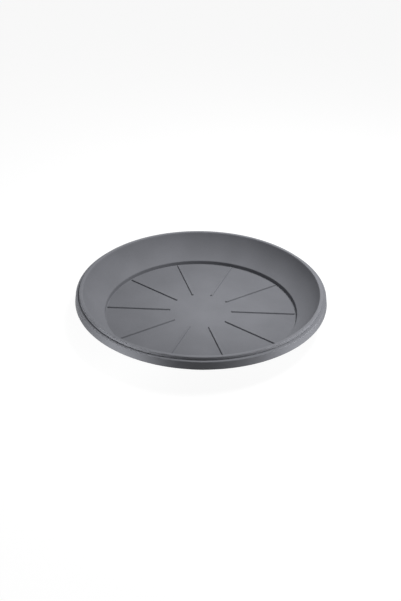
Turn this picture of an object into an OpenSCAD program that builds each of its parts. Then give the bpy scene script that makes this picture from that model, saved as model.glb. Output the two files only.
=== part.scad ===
// Round plant saucer: a recessed floor with radial ribs, a bowl-curved wall and a rim with a lip and a skirt.
// Each moulded feature is a solid of its own, and neighbours meet face to face.
// Millimetres, +Z up. The origin is on the ground under the middle of the floor, and rib_01 lies along +X.

/* [Overall] */
// Outer diameter, across the lower edge of the skirt
outer_d = 300; // [220:1:450]
// Height from the ground to the top of the lip
total_h = 38; // [32:0.5:60]

/* [Floor] */
// Thickness of the floor
floor_t = 2.2; // [1.5:0.1:4]
// Height of the foot below the underside of the floor
foot_h = 0.8; // [0.4:0.1:3]
// Width of the foot
foot_w = 3; // [2:0.1:6]
// How far the foot reaches out past the edge of the floor
foot_out = 0.4; // [0:0.1:1]
// Height of the step, from the floor to the corner that it would make with the wall without its rounding
step_h = 4.7; // [3:0.1:7]
// How far the step leans outwards over its height
step_lean = 0.9; // [0.2:0.1:2]
// Radius of the top edge of the step
step_round = 1.7; // [0.5:0.1:2.2]

/* [Wall] */
// How far the wall spreads outwards from the step to the lip
wall_reach = 24.9; // [16:0.1:40]
// Thickness of the wall
wall_t = 2.2; // [1.5:0.1:3]
// Depth of the wall's curve, measured from a straight line between step and lip
wall_bow = 3.2; // [1:0.1:5]

/* [Rim] */
// Width of the lip, from the dish to its outer face
lip_w = 3.8; // [3.2:0.1:6]
// Height of the lip above the ledge
lip_h = 3.2; // [2:0.1:6]
// Radius of the two top edges of the lip
lip_round = 1.1; // [0.5:0.1:1.4]
// Width of the ledge, from the lip to the outer face of the skirt
ledge_w = 3.8; // [3:0.1:8]
// Thickness of the ledge
ledge_t = 2.2; // [1.5:0.1:3]
// Height of the skirt, from the top of the ledge down to its lower edge
skirt_h = 9.1; // [6:0.1:14]
// Thickness of the skirt
skirt_t = 2; // [1.4:0.1:2.6]
// How far the skirt leans outwards over its height
skirt_lean = 1.4; // [0:0.1:3]
// Radius of the top edge of the skirt
skirt_round = 1; // [0.4:0.1:1.3]
// Radius of the two lower edges of the skirt
skirt_low_round = 0.5; // [0.2:0.05:0.6]

/* [Ribs] */
// Number of ribs on the floor
rib_count = 10; // [4:1:16]
// Width of a rib at the floor
rib_w = 3.4; // [3:0.1:5]
// Width of a rib at its top
rib_top_w = 1.8; // [1:0.1:2.8]
// Height of a rib above the floor
rib_h = 1.6; // [0.8:0.1:3]
// Diameter of the bare middle that the ribs leave
bare_d = 73; // [40:1:110]
// Gap between the outer end of a rib and the step
rib_gap = 1; // [0.8:0.1:8]

/* [Hidden] */
$fn = 180;
plastic = [0.46, 0.465, 0.485];

// Outward directions of the skirt's two leaning faces, in the plane of radius and height
skirt_slant = norm([skirt_lean, skirt_h]);
skirt_out_dir = [skirt_h, skirt_lean] / skirt_slant;
skirt_inner_h = skirt_h - ledge_t;
skirt_inner_slant = norm([skirt_lean, skirt_inner_h]);
skirt_in_dir = -[skirt_inner_h, skirt_lean] / skirt_inner_slant;

// Radii, worked out from the skirt inwards; the skirt's lower radius is that of its corner before rounding
skirt_low_r = outer_d / 2 + skirt_low_round * ((skirt_lean + skirt_slant) / skirt_h - 1);
skirt_top_r = skirt_low_r - skirt_lean;
skirt_seam_r = skirt_top_r - skirt_t;
lip_out_r = skirt_top_r - ledge_w;
lip_in_r = lip_out_r - lip_w;
step_top_r = lip_in_r - wall_reach;
floor_r = step_top_r - step_lean;
heel_r = floor_r + foot_out;
foot_in_r = heel_r - foot_w;

// Heights, worked out from the ground and from the top of the lip
floor_z = foot_h + floor_t;
step_top_z = floor_z + step_h;
ledge_z = total_h - lip_h;
rim_under_z = ledge_z - ledge_t;
skirt_low_z = ledge_z - skirt_h;

// The wall's inner face is an arc from the step's top edge to the lip's inner edge, in the plane of radius and height
wall_low = [step_top_r, step_top_z];
wall_top = [lip_in_r, total_h];
wall_chord = norm(wall_top - wall_low);
wall_arc_r = (pow(wall_chord / 2, 2) + pow(wall_bow, 2)) / (2 * wall_bow);
wall_inward = [wall_low.y - wall_top.y, wall_top.x - wall_low.x] / wall_chord;
wall_centre = (wall_low + wall_top) / 2 + wall_inward * (wall_arc_r - wall_bow);

// The rounding of the step's top edge touches the step's face and the wall's arc
step_up = [step_lean, step_h] / norm([step_lean, step_h]);
step_out = [step_up.y, -step_up.x];
step_from = wall_low + step_out * step_round - wall_centre;
step_along = step_from * step_up;
step_drop = step_along + sqrt(pow(step_along, 2) + pow(wall_arc_r + step_round, 2) - step_from * step_from);
step_edge = wall_centre + step_from - step_up * step_drop;
step_touch = step_edge - step_out * step_round;
wall_touch = wall_centre + (step_edge - wall_centre) * wall_arc_r / (wall_arc_r + step_round);

// The wall begins a little above that rounding, where the step's solid ends
wall_start = 1;
wall_touch_angle = atan2(wall_touch.y - wall_centre.y, wall_touch.x - wall_centre.x);
wall_start_angle = wall_touch_angle + wall_start / wall_arc_r * 180 / PI;
wall_start_dir = [cos(wall_start_angle), sin(wall_start_angle)];
wall_inside = wall_centre + wall_start_dir * wall_arc_r / 2;
wall_foot = wall_centre + wall_start_dir * (wall_arc_r + wall_t);

// The rounding of the lip's inner edge touches the wall's arc and the top of the lip
lip_edge_z = total_h - lip_round;
lip_edge_r = wall_centre.x + sqrt(pow(wall_arc_r + lip_round, 2) - pow(lip_edge_z - wall_centre.y, 2));
lip_edge = [lip_edge_r, lip_edge_z];
lip_edge_touch = wall_centre + (lip_edge - wall_centre) * wall_arc_r / (wall_arc_r + lip_round);

// The roundings of the skirt's edges touch its leaning faces, its top and its lower side
skirt_edge_r = skirt_top_r - skirt_round * (skirt_slant - skirt_lean) / skirt_h;
skirt_edge = [skirt_edge_r, ledge_z - skirt_round];
toe_z = skirt_low_z + skirt_low_round;
toe_out = [outer_d / 2 - skirt_low_round, toe_z];
toe_in_r = skirt_low_r - skirt_t + skirt_low_round * (skirt_inner_slant - skirt_lean) / skirt_inner_h;
toe_in = [toe_in_r, toe_z];

// How far a rounding's circle reaches past the sides that it touches, so that it meets them cleanly
overlap = 0.001;

function rib_name(i) = str("rib_", i < 10 ? "0" : "", i);

// What a rounding takes off an edge: all from its corner to a circle that touches both of its sides
module edge_cut(corner, centre, touch_a, touch_b) {
    spokes = [[0, 0], touch_a - centre, corner - centre, touch_b - centre];
    translate(centre)
        difference() {
            polygon(2 * spokes);
            circle(norm(touch_a - centre) + overlap);
        }
}

// Flat recessed floor
module floor_plate() {
    color(plastic)
        translate([0, 0, foot_h])
            cylinder(r = floor_r, h = floor_t);
}

// Upright step round the floor, with the foot under it and the first of the wall above it
module foot_ring() {
    color(plastic)
        rotate_extrude()
            difference() {
                polygon([
                    [foot_in_r, 0],
                    [heel_r, 0],
                    wall_foot,
                    wall_inside,
                    wall_low,
                    [floor_r, floor_z],
                    [floor_r, foot_h],
                    [foot_in_r, foot_h]
                ]);
                translate(wall_centre) circle(wall_arc_r);
                edge_cut(wall_low, step_edge, step_touch, wall_touch);
            }
}

// Bowl-curved wall of even thickness, from the step up to the rim
module side_wall() {
    wall_outside = wall_centre + wall_start_dir * wall_arc_r * 2;
    color(plastic)
        rotate_extrude()
            intersection() {
                difference() {
                    translate(wall_centre) circle(wall_arc_r + wall_t);
                    translate(wall_centre) circle(wall_arc_r);
                }
                polygon([
                    wall_inside,
                    wall_outside,
                    [outer_d, wall_outside.y],
                    [outer_d, rim_under_z],
                    [wall_centre.x, rim_under_z]
                ]);
            }
}

// Raised lip on the ledge, whose inner face carries on the wall's arc
module rim_lip() {
    outer_edge = [lip_out_r - lip_round, lip_edge_z];
    color(plastic)
        rotate_extrude()
            difference() {
                translate([wall_centre.x, ledge_z])
                    square([lip_out_r - wall_centre.x, lip_h]);
                translate(wall_centre) circle(wall_arc_r);
                edge_cut(wall_top, lip_edge, lip_edge_touch, [lip_edge.x, total_h]);
                edge_cut([lip_out_r, total_h], outer_edge, [outer_edge.x, total_h], [lip_out_r, outer_edge.y]);
            }
}

// Flat ledge from the wall's arc under the lip to the skirt
module rim_ledge() {
    color(plastic)
        rotate_extrude()
            difference() {
                translate([wall_centre.x, rim_under_z])
                    square([skirt_seam_r - wall_centre.x, ledge_t]);
                translate(wall_centre) circle(wall_arc_r);
            }
}

// Turned-down band, leaning outwards
module rim_skirt() {
    low_out = [skirt_low_r, skirt_low_z];
    low_in = [skirt_low_r - skirt_t, skirt_low_z];
    top_out = [skirt_top_r, ledge_z];
    color(plastic)
        rotate_extrude()
            difference() {
                polygon([[skirt_seam_r, ledge_z], [skirt_seam_r, rim_under_z], low_in, low_out, top_out]);
                edge_cut(top_out, skirt_edge, [skirt_edge.x, ledge_z], skirt_edge + skirt_out_dir * skirt_round);
                edge_cut(low_out, toe_out, [toe_out.x, skirt_low_z], toe_out + skirt_out_dir * skirt_low_round);
                edge_cut(low_in, toe_in, [toe_in.x, skirt_low_z], toe_in + skirt_in_dir * skirt_low_round);
            }
}

// One straight rib with sloping sides and round ends, lying on the floor
module rib(i) {
    base_r = rib_w / 2;
    top_r = rib_top_w / 2;
    near = bare_d / 2 + base_r;
    far = floor_r - rib_gap - base_r;
    run = far - near;
    color(plastic)
        rotate(360 * (i - 1) / rib_count)
            translate([near, 0, floor_z]) {
                rotate([90, 0, 90])
                    linear_extrude(run)
                        polygon([[-base_r, 0], [base_r, 0], [top_r, rib_h], [-top_r, rib_h]]);
                for (end = [0, run])
                    translate([end, 0, 0]) cylinder(r1 = base_r, r2 = top_r, h = rib_h);
            }
}

floor_plate();
foot_ring();
side_wall();
rim_lip();
rim_ledge();
rim_skirt();
for (i = [1:rib_count])
    rib(i);
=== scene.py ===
import math

import bpy
import numpy as np
from mathutils import Matrix, Vector


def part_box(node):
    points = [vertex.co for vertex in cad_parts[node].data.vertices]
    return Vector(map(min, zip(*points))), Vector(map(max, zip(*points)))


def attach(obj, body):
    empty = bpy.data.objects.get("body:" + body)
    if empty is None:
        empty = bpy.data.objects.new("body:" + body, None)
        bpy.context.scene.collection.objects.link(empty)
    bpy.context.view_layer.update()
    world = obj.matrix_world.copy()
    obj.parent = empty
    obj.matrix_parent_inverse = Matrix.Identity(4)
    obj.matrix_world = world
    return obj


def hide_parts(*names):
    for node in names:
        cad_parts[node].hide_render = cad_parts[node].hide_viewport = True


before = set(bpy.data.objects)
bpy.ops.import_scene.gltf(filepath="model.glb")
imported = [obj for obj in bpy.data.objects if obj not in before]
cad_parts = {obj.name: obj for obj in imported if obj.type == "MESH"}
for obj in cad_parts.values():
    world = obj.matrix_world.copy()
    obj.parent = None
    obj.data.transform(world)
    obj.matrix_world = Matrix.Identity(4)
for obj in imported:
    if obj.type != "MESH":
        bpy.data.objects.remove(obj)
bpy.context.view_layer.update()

MM = 0.001

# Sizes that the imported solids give, with radii read along X, and the skirt's along its narrowest side
floor_low, floor_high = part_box("floor_plate")
lip_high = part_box("rim_lip")[1]
ledge_low, ledge_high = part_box("rim_ledge")
skirt_low, skirt_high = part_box("rim_skirt")
rib_low, rib_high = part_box("rib_01")
FLOOR_R = floor_high.x
FLOOR_Z = floor_high.z
FLOOR_UNDER_Z = floor_low.z
LIP_OUT_R = lip_high.x
LIP_TOP_Z = lip_high.z
LEDGE_OUT_R = ledge_high.x
LEDGE_Z = ledge_high.z
RIM_UNDER_Z = ledge_low.z
SKIRT_TOE_R = min(skirt_high.x, skirt_high.y, -skirt_low.x, -skirt_low.y)
SKIRT_LOW_Z = skirt_low.z
RIB_NEAR = rib_low.x
RIB_FAR = rib_high.x
RIB_HALF_W = rib_high.y
RIB_TOP_Z = rib_high.z
RIB_COUNT = sum(name.startswith("rib_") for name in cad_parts)

# Sizes of the solids that their boxes don't give
LIP_W = 3.8 * MM
LIP_ROUND = 1.1 * MM
STEP_H = 4.7 * MM
STEP_LEAN = 0.9 * MM
STEP_ROUND = 1.7 * MM
WALL_T = 2.2 * MM
WALL_BOW = 3.2 * MM
SKIRT_T = 2.0 * MM
SKIRT_LEAN = 1.4 * MM
SKIRT_ROUND = 1.0 * MM
SKIRT_LOW_ROUND = 0.5 * MM
FOOT_W = 3.0 * MM
FOOT_OUT = 0.4 * MM
RIB_TOP_W = 1.8 * MM

# Softened edges of the moulding
FLOOR_COVE = 0.7 * MM
LEDGE_COVE = 0.4 * MM
UNDER_COVE = 0.8 * MM
SKIRT_COVE = UNDER_COVE * 0.7
HEEL_COVE = 1.2 * MM
FOOT_ROUND = 0.4 * MM
FOOT_COVE = FOOT_ROUND / 2
RIB_TOP_ROUND = 0.5 * MM
RIB_COVE = 0.2 * MM

# How far the seams between the pieces stand clear of the softened edges
SEAM_CLEAR = 0.5 * MM

# Mark of the moulding's gate, in a shallow dimple under the middle of the floor
GATE_R = 1.1 * MM
GATE_FOOT_R = GATE_R * 1.15
GATE_ROUND = GATE_R / 4
GATE_COVE = GATE_R / 10
GATE_LOW_Z = FLOOR_UNDER_Z + 0.12 * MM
DIMPLE_R = 6.0 * MM
DIMPLE_ROUND = 0.3 * MM
DIMPLE_Z = FLOOR_UNDER_Z + 0.45 * MM
DIMPLE_EDGE_R = DIMPLE_R + 2 * DIMPLE_ROUND

# Fineness of the surfaces
TURN_STEPS = 384
ARC_STEP = math.radians(7)
WALL_STEPS = 40
RIM_STEPS = 4
RIB_END_STEPS = 25
RUN_SPAN = 3.0 * MM
RUN_LEAST = 1.5 * MM
RUN_SUPPORT = 0.12 * MM
RUN_CLEAR = 3 * RUN_SUPPORT
SHARP_TURN = math.radians(25)

# Two tones of the plastic's cloudy pigment, and levels against the palest, at the middle of the floor:
# painted light there, plain, painted shade at the floor's edge, a painted highlight on the lip, and the
# speckle
DARK_TONE = (0.207, 0.212, 0.231, 1)
PALE_TONE = (0.232, 0.237, 0.259, 1)
PAINTED_LIGHT_MIDDLE = 1.0
PAINTED_SHADE_FLOOR_EDGE = 0.77
PLAIN_SHADE = 0.84
PAINTED_HIGHLIGHT_LIP = 0.93
FLECK_SHADE = 0.94

# How far inside the floor's edge the fade from the painted light at its middle to the painted shade ends
PAINTED_FADE_END = 10 * MM

# The plastic's roughness, the grain and slow swell of its skin, and its sheen
SMOOTHEST = 0.54
ROUGHEST = 0.62
GRAIN_STRENGTH = 0.35
GRAIN_DEPTH = 0.04 * MM
SWELL_STRENGTH = 0.25
SWELL_DEPTH = 0.1 * MM
SHEEN_LEVEL = 0.05

# Stretch in which most of a noise texture's values lie
NOISE_LOW = 0.3
NOISE_HIGH = 0.7


def unit(vector):
    """The vector divided by its length."""
    return vector / np.linalg.norm(vector)


def soft_corner(before, corner, after, rounding):
    """Arc that touches both sides of a corner.

    It starts at rounding / tan(half the corner's angle) from the corner, its centre lies on the corner's
    bisector at rounding / sin(half the angle), and it turns through the angle that the corner turns.
    """
    side_in = unit(before - corner)
    side_out = unit(after - corner)
    half = math.acos(np.clip(side_in @ side_out, -1, 1)) / 2
    centre = corner + unit(side_in + side_out) * rounding / math.sin(half)
    spoke = corner + side_in * rounding / math.tan(half) - centre
    turn = math.pi - 2 * half
    way = np.sign(side_in[1] * side_out[0] - side_in[0] * side_out[1])
    angle = way * np.linspace(0, turn, math.ceil(turn / ARC_STEP) + 1)
    across = np.array([-spoke[1], spoke[0]])
    return centre + np.outer(np.cos(angle), spoke) + np.outer(np.sin(angle), across)


def outline(*corners):
    """Closed outline in the plane of radius and height, counterclockwise.

    A corner is (radius, height) or (radius, height, rounding), or a whole array of points used as it is.
    """
    runs = [np.atleast_2d(np.array(corner, float)) for corner in corners]
    points = []
    for index, run in enumerate(runs):
        if run.shape[1] == 2:
            points.append(run)
            continue
        before = runs[index - 1][-1, :2]
        after = runs[(index + 1) % len(runs)][0, :2]
        points.append(soft_corner(before, run[0, :2], after, run[0, 2]))
    return np.vstack(points)


def with_runs(points, closed=True):
    """Outline with more points on its straight runs.

    Each run gets a point close to each of its ends, which keeps the shading of the run flat, and evenly
    spaced points between them. Their places are lengths along the outline, and radius and height are
    interpolated.
    """
    path = np.vstack([points, points[:1]]) if closed else points
    length = np.hypot(*np.diff(path, axis=0).T)
    start = np.concatenate([[0], np.cumsum(length)])
    is_run = length > RUN_LEAST
    even = np.arange(0, start[-1], RUN_SPAN)
    segment = np.searchsorted(start, even, "right") - 1
    clear = np.minimum(even - start[segment], start[segment + 1] - even) > RUN_CLEAR
    even = even[is_run[segment] & clear]
    ends = np.concatenate([start[:-1][is_run] + RUN_SUPPORT, start[1:][is_run] - RUN_SUPPORT])
    place = np.unique(np.concatenate([start[:-1] if closed else start, ends, even]))
    return np.stack([np.interp(place, start, path[:, 0]), np.interp(place, start, path[:, 1])], 1)


def add_piece(node, points, faces, sharp_pairs):
    """Mesh object at the origin that rides on the body, stands for a CAD node and has the plastic's finish.

    An edge is sharp where both of its points have the same number of 0 or more in sharp_pairs.
    """
    name = f"moulded_{node}"
    mesh = bpy.data.meshes.new(name)
    mesh.from_pydata(points.tolist(), [], faces)
    mesh.shade_smooth()
    ends = np.zeros(len(mesh.edges) * 2, np.int32)
    mesh.edges.foreach_get("vertices", ends)
    mark = sharp_pairs[ends.reshape(-1, 2)]
    sharp = mesh.attributes.new("sharp_edge", "BOOLEAN", "EDGE")
    sharp.data.foreach_set("value", (mark[:, 0] == mark[:, 1]) & (mark[:, 0] >= 0))
    mesh.materials.append(PLASTIC)
    piece = bpy.data.objects.new(name, mesh)
    bpy.context.collection.objects.link(piece)
    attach(piece, "root")
    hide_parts(node)
    return piece


def turned_ring(node, points, closed=True):
    """Surface of revolution: x = radius cos(angle), y = radius sin(angle), z = height.

    Radius and height follow the outline, and the angle goes once round. An open outline starts and ends on
    the axis, and its two ends become single points there.
    """
    points = with_runs(points, closed)
    rows = points if closed else points[1:-1]
    angle = np.linspace(0, 2 * math.pi, TURN_STEPS, endpoint=False)
    radius, height = rows[:, :1], rows[:, 1:]
    grid = np.stack([radius * np.cos(angle), radius * np.sin(angle), height + 0 * angle], 2).reshape(-1, 3)
    row = np.arange(len(rows) if closed else len(rows) - 1)[:, None] * TURN_STEPS
    next_row = (row + TURN_STEPS) % len(grid)
    here = np.arange(TURN_STEPS)
    ahead = (here + 1) % TURN_STEPS
    sides = np.stack([row + here, row + ahead, next_row + ahead, next_row + here], 2)
    faces = sides.reshape(-1, 4).tolist()
    side = np.diff(np.vstack([rows[-1:], rows, rows[:1]]), axis=0)
    heading = np.arctan2(side[:, 1], side[:, 0])
    turn = np.abs((np.diff(heading) + math.pi) % (2 * math.pi) - math.pi)
    mark = np.repeat(np.where(turn > SHARP_TURN, np.arange(len(rows)), -1), TURN_STEPS)
    if not closed:
        last_row = len(grid) - TURN_STEPS
        first_pole, last_pole = len(grid), len(grid) + 1
        poles = np.array([[0, 0, points[0, 1]], [0, 0, points[-1, 1]]])
        grid = np.vstack([grid, poles])
        mark = np.concatenate([mark, [-1, -1]])
        faces += np.stack([0 * here + first_pole, ahead, here], 1).tolist()
        faces += np.stack([last_row + here, last_row + ahead, 0 * here + last_pole], 1).tolist()
    return add_piece(node, grid, faces, mark)


# The wall's inner face is an arc from the step's top edge to the lip's inner edge
LIP_IN_R = LIP_OUT_R - LIP_W
WALL_LOW = np.array([FLOOR_R + STEP_LEAN, FLOOR_Z + STEP_H])
WALL_TOP = np.array([LIP_IN_R, LIP_TOP_Z])
WALL_CHORD = np.linalg.norm(WALL_TOP - WALL_LOW)
WALL_ARC_R = (WALL_CHORD ** 2 / 4 + WALL_BOW ** 2) / (2 * WALL_BOW)
WALL_INWARD = unit(np.array([WALL_LOW[1] - WALL_TOP[1], WALL_TOP[0] - WALL_LOW[0]]))
WALL_CENTRE = (WALL_LOW + WALL_TOP) / 2 + WALL_INWARD * (WALL_ARC_R - WALL_BOW)
WALL_OUT_R = WALL_ARC_R + WALL_T


def wall_angle(point):
    """Angle of a point in the plane of radius and height, seen from the centre of the wall's arcs."""
    return math.atan2(point[1] - WALL_CENTRE[1], point[0] - WALL_CENTRE[0])


def wall_angle_at(radius, height):
    """Angle at which an arc about the wall's centre passes a height."""
    return math.asin((height - WALL_CENTRE[1]) / radius)


def wall_arc(radius, start, end, steps):
    """Points on an arc about the wall's centre: the centre plus the radius along evenly spaced angles."""
    angle = np.linspace(start, end, steps)
    return WALL_CENTRE + radius * np.stack([np.cos(angle), np.sin(angle)], 1)


def wall_point(radius, angle):
    """Point at an angle on an arc about the wall's centre."""
    return wall_arc(radius, angle, angle, 1)[0]


def stadium_rib(node, azimuth):
    """Rib with round ends: a section of (distance from the axis, height) carried round a stadium-shaped path.

    A point is an end's centre plus the distance along the path's outward direction, at the section's height,
    and the whole is turned about Z by the azimuth. A flat base closes the first ring, and a flat top the
    last.
    """
    beside = np.array([RIB_HALF_W + RIB_COVE, FLOOR_Z])
    foot = np.array([RIB_HALF_W, FLOOR_Z])
    edge = np.array([RIB_TOP_W / 2, RIB_TOP_Z])
    middle = np.array([0, RIB_TOP_Z])
    section = np.vstack([
        soft_corner(beside, foot, edge, RIB_COVE),
        soft_corner(foot, edge, middle, RIB_TOP_ROUND),
        [[RIB_TOP_W / 2 - RIB_TOP_ROUND, RIB_TOP_Z]],
    ])
    half_turn = np.linspace(-math.pi / 2, math.pi / 2, RIB_END_STEPS)
    heading = np.concatenate([half_turn, half_turn + math.pi])
    centre = np.repeat([RIB_FAR - RIB_HALF_W, RIB_NEAR + RIB_HALF_W], RIB_END_STEPS)
    distance, height = section[:, :1], section[:, 1:]
    along = centre + distance * np.cos(heading)
    across = distance * np.sin(heading)
    turn_cos, turn_sin = math.cos(azimuth), math.sin(azimuth)
    x = along * turn_cos - across * turn_sin
    y = along * turn_sin + across * turn_cos
    points = np.stack([x, y, height + 0 * heading], 2).reshape(-1, 3)
    count = len(heading)
    ring = np.arange(len(section) - 1)[:, None] * count
    here = np.arange(count)
    ahead = (here + 1) % count
    sides = np.stack([ring + here, ring + ahead, ring + count + ahead, ring + count + here], 2)
    top = (len(section) - 1) * count + here
    faces = sides.reshape(-1, 4).tolist() + [top.tolist(), here[::-1].tolist()]
    mark = np.full(len(points), -1)
    mark[:count] = 0
    return add_piece(node, points, faces, mark)


def noise(nodes, links, place, scale, detail, roughness):
    """Noise texture on Object coordinates, with its value as the result."""
    texture = nodes.new("ShaderNodeTexNoise")
    texture.inputs["Scale"].default_value = scale
    texture.inputs["Detail"].default_value = detail
    texture.inputs["Roughness"].default_value = roughness
    links.new(place, texture.inputs["Vector"])
    return texture.outputs["Fac"]


def stretched(nodes, links, value, start, end, low, high):
    """The value carried from the stretch start to end over to the stretch low to high, and held inside it."""
    stretch = nodes.new("ShaderNodeMapRange")
    stretch.inputs["From Min"].default_value = start
    stretch.inputs["From Max"].default_value = end
    stretch.inputs["To Min"].default_value = low
    stretch.inputs["To Max"].default_value = high
    links.new(value, stretch.inputs["Value"])
    return stretch.outputs["Result"]


def grey(level):
    """Grey colour of a level."""
    return (level, level, level, 1)


def two_tone(nodes, links, value, dark, pale):
    """Colour between two tones, over the stretch in which most of a noise's values lie."""
    ramp = nodes.new("ShaderNodeValToRGB")
    low_stop, high_stop = ramp.color_ramp.elements
    low_stop.position = NOISE_LOW
    low_stop.color = dark
    high_stop.position = NOISE_HIGH
    high_stop.color = pale
    links.new(value, ramp.inputs["Fac"])
    return ramp.outputs["Color"]


def painted_light_by_radius(nodes, links, place):
    """Painted light and shade by distance from the saucer's axis, the length of (x, y, 0), with straight
    changes between stops.

    It is palest at the middle, as painted light, fades to painted shade at the floor's edge, and is pale on
    the lip, as a painted highlight.
    """
    flat = nodes.new("ShaderNodeVectorMath")
    flat.operation = "MULTIPLY"
    flat.inputs[1].default_value = (1, 1, 0)
    links.new(place, flat.inputs[0])
    from_axis = nodes.new("ShaderNodeVectorMath")
    from_axis.operation = "LENGTH"
    links.new(flat.outputs["Vector"], from_axis.inputs[0])
    share = stretched(nodes, links, from_axis.outputs["Value"], 0, SKIRT_TOE_R, 0, 1)
    shade = nodes.new("ShaderNodeValToRGB")
    stops = shade.color_ramp.elements
    # Painted light at the middle of the floor, the plain level elsewhere, painted shade at the floor's edge
    # and a painted highlight on the lip
    stops[0].color = grey(PAINTED_LIGHT_MIDDLE)
    stops[1].color = grey(PLAIN_SHADE)
    for radius, level in (
        (FLOOR_R - PAINTED_FADE_END, PAINTED_SHADE_FLOOR_EDGE),
        (FLOOR_R - FLOOR_COVE, PAINTED_SHADE_FLOOR_EDGE),
        (FLOOR_R + STEP_LEAN, PLAIN_SHADE),
        (LIP_IN_R - LIP_ROUND, PLAIN_SHADE),
        (LIP_IN_R, PAINTED_HIGHLIGHT_LIP),
        (LIP_OUT_R - LIP_ROUND, PAINTED_HIGHLIGHT_LIP),
        (LIP_OUT_R, PLAIN_SHADE),
    ):
        stops.new(radius / SKIRT_TOE_R).color = grey(level)
    links.new(share, shade.inputs["Fac"])
    return shade.outputs["Color"]


def multiplied(nodes, links, one, other):
    """Product of two colours."""
    product = nodes.new("ShaderNodeMix")
    product.data_type = "RGBA"
    product.blend_type = "MULTIPLY"
    product.inputs["Factor"].default_value = 1.0
    links.new(one, product.inputs["A"])
    links.new(other, product.inputs["B"])
    return product.outputs["Result"]


def moulded_plastic():
    """Matte grey polypropylene: cloudy pigment, painted light at the middle of the floor, painted shade at
    its edge, a painted highlight on the lip, speckle, grained skin and soft sheen.
    """
    material = bpy.data.materials.new("saucer_plastic")
    material.use_nodes = True
    nodes, links = material.node_tree.nodes, material.node_tree.links
    shader = nodes["Principled BSDF"]
    place = nodes.new("ShaderNodeTexCoord").outputs["Object"]
    cloud = noise(nodes, links, place, scale=22, detail=3, roughness=0.5)
    speckle = noise(nodes, links, place, scale=900, detail=2, roughness=0.6)
    grain = noise(nodes, links, place, scale=1700, detail=3, roughness=0.55)
    ripple = noise(nodes, links, place, scale=60, detail=2, roughness=0.5)

    tone = two_tone(nodes, links, cloud, DARK_TONE, PALE_TONE)
    flecks = two_tone(nodes, links, speckle, grey(FLECK_SHADE), grey(1))
    flecked = multiplied(nodes, links, tone, flecks)
    # Painted light at the middle of the floor, painted shade at its edge and a painted highlight on the lip,
    # multiplied into the base colour
    with_painted_light = multiplied(nodes, links, flecked, painted_light_by_radius(nodes, links, place))
    links.new(with_painted_light, shader.inputs["Base Color"])

    uneven = stretched(nodes, links, ripple, NOISE_LOW, NOISE_HIGH, SMOOTHEST, ROUGHEST)
    links.new(uneven, shader.inputs["Roughness"])
    skin = nodes.new("ShaderNodeBump")
    skin.inputs["Strength"].default_value = GRAIN_STRENGTH
    skin.inputs["Distance"].default_value = GRAIN_DEPTH
    links.new(grain, skin.inputs["Height"])
    swell = nodes.new("ShaderNodeBump")
    swell.inputs["Strength"].default_value = SWELL_STRENGTH
    swell.inputs["Distance"].default_value = SWELL_DEPTH
    links.new(ripple, swell.inputs["Height"])
    links.new(skin.outputs["Normal"], swell.inputs["Normal"])
    links.new(swell.outputs["Normal"], shader.inputs["Normal"])
    shader.inputs["Specular IOR Level"].default_value = SHEEN_LEVEL
    return material


PLASTIC = moulded_plastic()

# Seams of the pieces, each on a plain stretch beside a softened edge
FLOOR_SEAM_R = FLOOR_R - FLOOR_COVE - SEAM_CLEAR
WALL_SEAM_Z = RIM_UNDER_Z - UNDER_COVE - SEAM_CLEAR
LIP_SEAM_Z = LEDGE_Z - SEAM_CLEAR
LEDGE_IN_SEAM_R = LIP_OUT_R + LEDGE_COVE + SEAM_CLEAR / 2
LEDGE_OUT_SEAM_R = LEDGE_OUT_R - UNDER_COVE
HEEL_TOP_ANGLE = wall_angle(WALL_LOW) + STEP_ROUND / WALL_ARC_R
STEP_SEAM_ANGLE = HEEL_TOP_ANGLE + SEAM_CLEAR / WALL_ARC_R
WALL_OUT_SEAM_ANGLE = wall_angle_at(WALL_OUT_R, WALL_SEAM_Z)
WALL_IN_SEAM_ANGLE = wall_angle_at(WALL_ARC_R, WALL_SEAM_Z)
LIP_SEAM_ANGLE = wall_angle_at(WALL_ARC_R, LIP_SEAM_Z)

# Corners of the pieces
HEEL_R = FLOOR_R + FOOT_OUT
FOOT_IN_R = HEEL_R - FOOT_W
WALL_FOOT = wall_point(WALL_OUT_R, HEEL_TOP_ANGLE)
RIM_UNDER = wall_point(WALL_OUT_R, wall_angle_at(WALL_OUT_R, RIM_UNDER_Z))
LIP_EDGE_ANGLE = wall_angle(WALL_TOP) - LIP_ROUND / WALL_ARC_R
SKIRT_H = LEDGE_Z - SKIRT_LOW_Z
SKIRT_SLANT = math.hypot(SKIRT_LEAN, SKIRT_H)
SKIRT_LOW_R = SKIRT_TOE_R + SKIRT_LOW_ROUND * ((SKIRT_LEAN + SKIRT_SLANT) / SKIRT_H - 1)
SKIRT_TOP_R = SKIRT_LOW_R - SKIRT_LEAN

# The floor's outline is open: from the axis outwards on the underside, and back to the axis on top
floor_under = outline(
    (0, GATE_LOW_Z),
    (GATE_R, GATE_LOW_Z, GATE_ROUND),
    (GATE_FOOT_R, DIMPLE_Z, GATE_COVE),
    (DIMPLE_R, DIMPLE_Z, DIMPLE_ROUND),
    (DIMPLE_EDGE_R, FLOOR_UNDER_Z, DIMPLE_ROUND),
    (FLOOR_SEAM_R, FLOOR_UNDER_Z),
)
floor_top = outline((FLOOR_SEAM_R, FLOOR_Z), (0, FLOOR_Z))
turned_ring("floor_plate", np.vstack([floor_under, floor_top]), closed=False)

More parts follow.
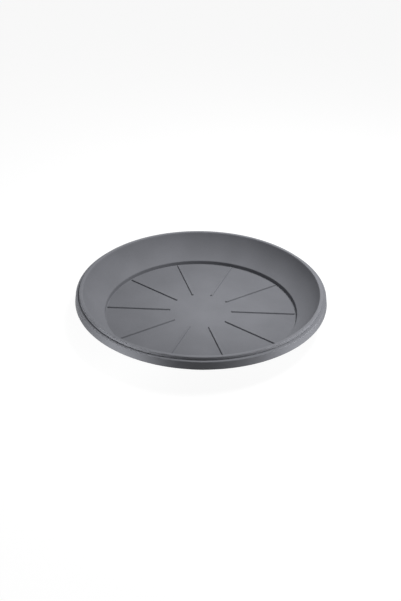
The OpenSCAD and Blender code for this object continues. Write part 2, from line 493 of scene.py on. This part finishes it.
turned_ring("foot_ring", outline(
    (FOOT_IN_R, 0, FOOT_ROUND),
    (HEEL_R, 0, FOOT_ROUND),
    (*WALL_FOOT, HEEL_COVE),
    wall_point(WALL_OUT_R, STEP_SEAM_ANGLE),
    wall_point(WALL_ARC_R, STEP_SEAM_ANGLE),
    (*WALL_LOW, STEP_ROUND),
    (FLOOR_R, FLOOR_Z, FLOOR_COVE),
    (FLOOR_SEAM_R, FLOOR_Z),
    (FLOOR_SEAM_R, FLOOR_UNDER_Z),
    (FOOT_IN_R, FLOOR_UNDER_Z, FOOT_COVE),
))

turned_ring("side_wall", outline(
    wall_arc(WALL_OUT_R, STEP_SEAM_ANGLE, WALL_OUT_SEAM_ANGLE, WALL_STEPS),
    wall_arc(WALL_ARC_R, WALL_IN_SEAM_ANGLE, STEP_SEAM_ANGLE, WALL_STEPS),
))

turned_ring("rim_lip", outline(
    (LEDGE_IN_SEAM_R, LIP_SEAM_Z),
    (LEDGE_IN_SEAM_R, LEDGE_Z),
    (LIP_OUT_R, LEDGE_Z, LEDGE_COVE),
    (LIP_OUT_R, LIP_TOP_Z, LIP_ROUND),
    (LIP_IN_R, LIP_TOP_Z, LIP_ROUND),
    wall_arc(WALL_ARC_R, LIP_EDGE_ANGLE, LIP_SEAM_ANGLE, RIM_STEPS),
))

turned_ring("rim_ledge", outline(
    wall_point(WALL_OUT_R, WALL_OUT_SEAM_ANGLE),
    (*RIM_UNDER, UNDER_COVE),
    (LEDGE_OUT_SEAM_R, RIM_UNDER_Z),
    (LEDGE_OUT_SEAM_R, LEDGE_Z),
    (LEDGE_IN_SEAM_R, LEDGE_Z),
    (LEDGE_IN_SEAM_R, LIP_SEAM_Z),
    wall_arc(WALL_ARC_R, LIP_SEAM_ANGLE, WALL_IN_SEAM_ANGLE, RIM_STEPS),
))

turned_ring("rim_skirt", outline(
    (LEDGE_OUT_SEAM_R, LEDGE_Z),
    (LEDGE_OUT_SEAM_R, RIM_UNDER_Z),
    (LEDGE_OUT_R, RIM_UNDER_Z, SKIRT_COVE),
    (SKIRT_LOW_R - SKIRT_T, SKIRT_LOW_Z, SKIRT_LOW_ROUND),
    (SKIRT_LOW_R, SKIRT_LOW_Z, SKIRT_LOW_ROUND),
    (SKIRT_TOP_R, LEDGE_Z, SKIRT_ROUND),
))

for number in range(RIB_COUNT):
    stadium_rib(f"rib_{number + 1:02d}", 2 * math.pi * number / RIB_COUNT)


def seen_from(azimuth, elevation):
    """Direction from the object to where something stands: azimuth from +X to +Y, then elevation, in degrees.

    It is (cos azimuth cos elevation, sin azimuth cos elevation, sin elevation).
    """
    a, e = math.radians(azimuth), math.radians(elevation)
    return Vector((math.cos(a) * math.cos(e), math.sin(a) * math.cos(e), math.sin(e)))


def softbox(name, azimuth, elevation, distance, width, height, watts, beam=180):
    """Area lamp that faces the saucer from a direction and distance, with a beam that many degrees wide."""
    lamp = bpy.data.lights.new(name, "AREA")
    lamp.shape = "RECTANGLE"
    lamp.size = width
    lamp.size_y = height
    lamp.energy = watts
    lamp.spread = math.radians(beam)
    box = bpy.data.objects.new(name, lamp)
    direction = seen_from(azimuth, elevation)
    box.location = direction * distance
    box.rotation_euler = direction.to_track_quat("Z", "Y").to_euler()
    box.visible_camera = False
    bpy.context.collection.objects.link(box)


# A soft key light from the right and behind, and low strips that light the skirt from the left and right
softbox("key_softbox", 32, 65, distance=0.7, width=0.32, height=0.32, watts=6.0)
softbox("left_strip", 237, 6.6, distance=0.335, width=0.06, height=0.04, watts=0.038, beam=50)
softbox("far_left_strip", 196, 11, distance=0.24, width=0.2, height=0.05, watts=0.09)
softbox("right_strip", 322, 4.6, distance=0.305, width=0.06, height=0.03, watts=0.34)


def background_rays(nodes, links):
    """1 for rays that show the background as it is: from the camera, by reflection or through glass."""
    path = nodes.new("ShaderNodeLightPath")
    either = nodes.new("ShaderNodeMath")
    either.operation = "MAXIMUM"
    links.new(path.outputs["Is Camera Ray"], either.inputs[0])
    links.new(path.outputs["Is Glossy Ray"], either.inputs[1])
    any_of = nodes.new("ShaderNodeMath")
    any_of.operation = "MAXIMUM"
    links.new(either.outputs[0], any_of.inputs[0])
    links.new(path.outputs["Is Transmission Ray"], any_of.inputs[1])
    return any_of.outputs[0]


def background_strength(tree, other, shown):
    """Strength that is shown to the rays that see the background, and other to all others."""
    rays = background_rays(tree.nodes, tree.links)
    return stretched(tree.nodes, tree.links, rays, 0, 1, other, shown)


# White surroundings that give little light themselves, and a white ground that keeps a faint shadow
AMBIENT = 0.03
FLOOR_GLOW = 0.93
FLOOR_SHADE = 0.14
FLOOR_HALF = 8.0

world = bpy.data.worlds.new("studio")
bpy.context.scene.world = world
world.use_nodes = True
sky = world.node_tree.nodes["Background"]
sky.inputs["Color"].default_value = grey(1)
world.node_tree.links.new(background_strength(world.node_tree, AMBIENT, 1), sky.inputs["Strength"])

paper = bpy.data.materials.new("studio_floor")
paper.use_nodes = True
sheet = paper.node_tree.nodes["Principled BSDF"]
sheet.inputs["Base Color"].default_value = grey(FLOOR_SHADE)
sheet.inputs["Roughness"].default_value = 1.0
sheet.inputs["Specular IOR Level"].default_value = 0.0
sheet.inputs["Emission Color"].default_value = grey(1)
glow = background_strength(paper.node_tree, 0, FLOOR_GLOW)
paper.node_tree.links.new(glow, sheet.inputs["Emission Strength"])

floor_mesh = bpy.data.meshes.new("studio_floor")
floor_corners = np.array([[-1, -1, 0], [1, -1, 0], [1, 1, 0], [-1, 1, 0]]) * FLOOR_HALF
floor_mesh.from_pydata(floor_corners.tolist(), [], [(0, 1, 2, 3)])
floor_mesh.materials.append(paper)
studio_floor = bpy.data.objects.new("studio_floor", floor_mesh)
bpy.context.collection.objects.link(studio_floor)

# Camera at the photograph's viewing angle, with the image taken as 401 by 601
IMAGE_LONG_SIDE = 601
FOCAL_PIXELS = 807.6
SENSOR_MM = 36
CAMERA_AZIMUTH = 2.18 - 90
CAMERA_ELEVATION = 31.97
CAMERA_ROLL = math.radians(0.94)
CAMERA_DISTANCE = 975 * MM
AIM = Vector((-0.63, -0.56, 18.0)) * MM

camera_data = bpy.data.cameras.new("photo_camera")
camera_data.sensor_width = SENSOR_MM
camera_data.lens = FOCAL_PIXELS * SENSOR_MM / IMAGE_LONG_SIDE
camera = bpy.data.objects.new("photo_camera", camera_data)
bpy.context.collection.objects.link(camera)
bpy.context.scene.camera = camera
backward = seen_from(CAMERA_AZIMUTH, CAMERA_ELEVATION)
right = Vector((0, 0, 1)).cross(backward).normalized()
upward = backward.cross(right)
rolled_right = right * math.cos(CAMERA_ROLL) + upward * math.sin(CAMERA_ROLL)
rolled_upward = backward.cross(rolled_right)
camera_turn = Matrix((rolled_right, rolled_upward, backward)).transposed().to_4x4()
camera.matrix_world = Matrix.Translation(AIM + backward * CAMERA_DISTANCE) @ camera_turn

bpy.context.scene.view_settings.view_transform = "Standard"
